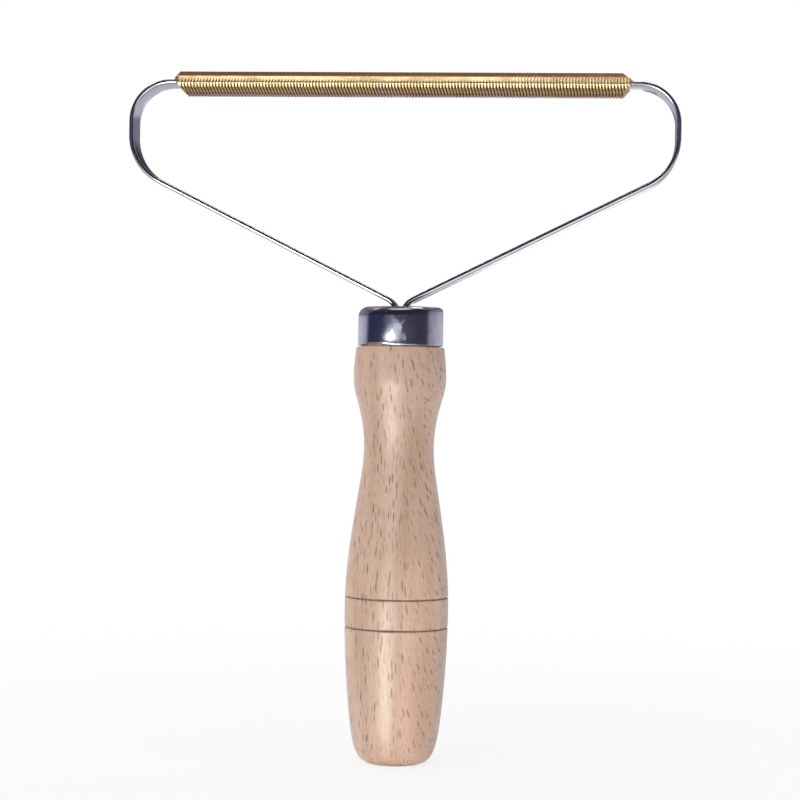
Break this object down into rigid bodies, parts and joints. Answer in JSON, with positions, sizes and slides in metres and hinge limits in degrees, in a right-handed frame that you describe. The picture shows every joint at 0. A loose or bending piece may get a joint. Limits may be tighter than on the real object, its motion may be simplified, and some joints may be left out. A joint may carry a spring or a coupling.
{
  "type": "pet hair removal brush",
  "caption": "Hand scraper for pet hair: turned wooden handle, steel ferrule, flat steel strip bent to a wide triangular loop, and a ribbed brass sleeve along the loop's top.",
  "frame": {"origin": "centre of the handle's flat end", "axes": "+Z along the handle towards the ribbed sleeve, +X along the sleeve, and the front faces -Y"},
  "size_m": [0.1462, 0.0276, 0.1833],
  "materials": {
    "beech": "sanded beech with dark flecks and two burnt lines",
    "polished_ferrule_steel": "polished, with fine scratches",
    "strip_steel": "polished",
    "brass": "ribbed, bright on the ridges and darker between them",
    "pin_steel": "plain"
  },
  "bodies": {
    "root": {"wood_handle": "beech", "steel_ferrule": "polished_ferrule_steel", "frame_strip": "strip_steel", "brass_head": "brass", "tang_pin": "pin_steel"}
  },
  "joints": []
}
